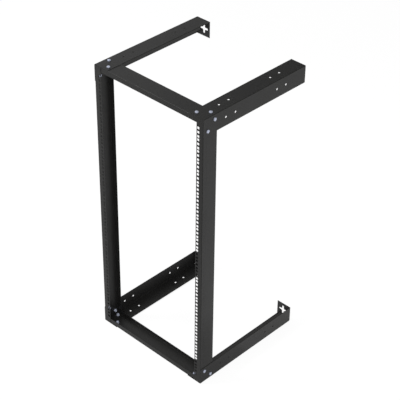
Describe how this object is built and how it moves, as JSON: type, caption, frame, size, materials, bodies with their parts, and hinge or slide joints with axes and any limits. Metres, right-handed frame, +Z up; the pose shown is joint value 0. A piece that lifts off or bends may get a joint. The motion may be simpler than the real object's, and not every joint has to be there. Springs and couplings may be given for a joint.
{
  "type": "wall mount open frame rack",
  "caption": "Open wall mount equipment rack: punched front rails and crossbars carried on angle arms with keyholed wall tabs.",
  "frame": {"origin": "middle of the footprint, level with the lowest bolt heads", "axes": "+Z up, +Y from the rack front to the wall, +X to the right as seen from the front"},
  "size_m": [0.5208, 0.498, 1.1348],
  "materials": {
    "powder_coat": "fine textured black powder coat, satin",
    "zinc": "bright zinc plated steel"
  },
  "bodies": {
    "root": {"left_rail": "powder_coat", "right_rail": "powder_coat", "top_crossbar": "powder_coat", "bottom_crossbar": "powder_coat", "top_left_arm": "powder_coat", "top_right_arm": "powder_coat", "bottom_left_arm": "powder_coat", "bottom_right_arm": "powder_coat", "top_left_bolt_1": "zinc", "top_left_bolt_2": "zinc", "top_left_bolt_3": "zinc", "top_left_bolt_4": "zinc", "top_right_bolt_1": "zinc", "top_right_bolt_2": "zinc", "top_right_bolt_3": "zinc", "top_right_bolt_4": "zinc", "bottom_left_bolt_1": "zinc", "bottom_left_bolt_2": "zinc", "bottom_left_bolt_3": "zinc", "bottom_left_bolt_4": "zinc", "bottom_right_bolt_1": "zinc", "bottom_right_bolt_2": "zinc", "bottom_right_bolt_3": "zinc", "bottom_right_bolt_4": "zinc", "top_left_nut_1": "zinc", "top_left_nut_2": "zinc", "top_left_nut_3": "zinc", "top_left_nut_4": "zinc", "top_right_nut_1": "zinc", "top_right_nut_2": "zinc", "top_right_nut_3": "zinc", "top_right_nut_4": "zinc", "bottom_left_nut_1": "zinc", "bottom_left_nut_2": "zinc", "bottom_left_nut_3": "zinc", "bottom_left_nut_4": "zinc", "bottom_right_nut_1": "zinc", "bottom_right_nut_2": "zinc", "bottom_right_nut_3": "zinc", "bottom_right_nut_4": "zinc"}
  },
  "joints": []
}
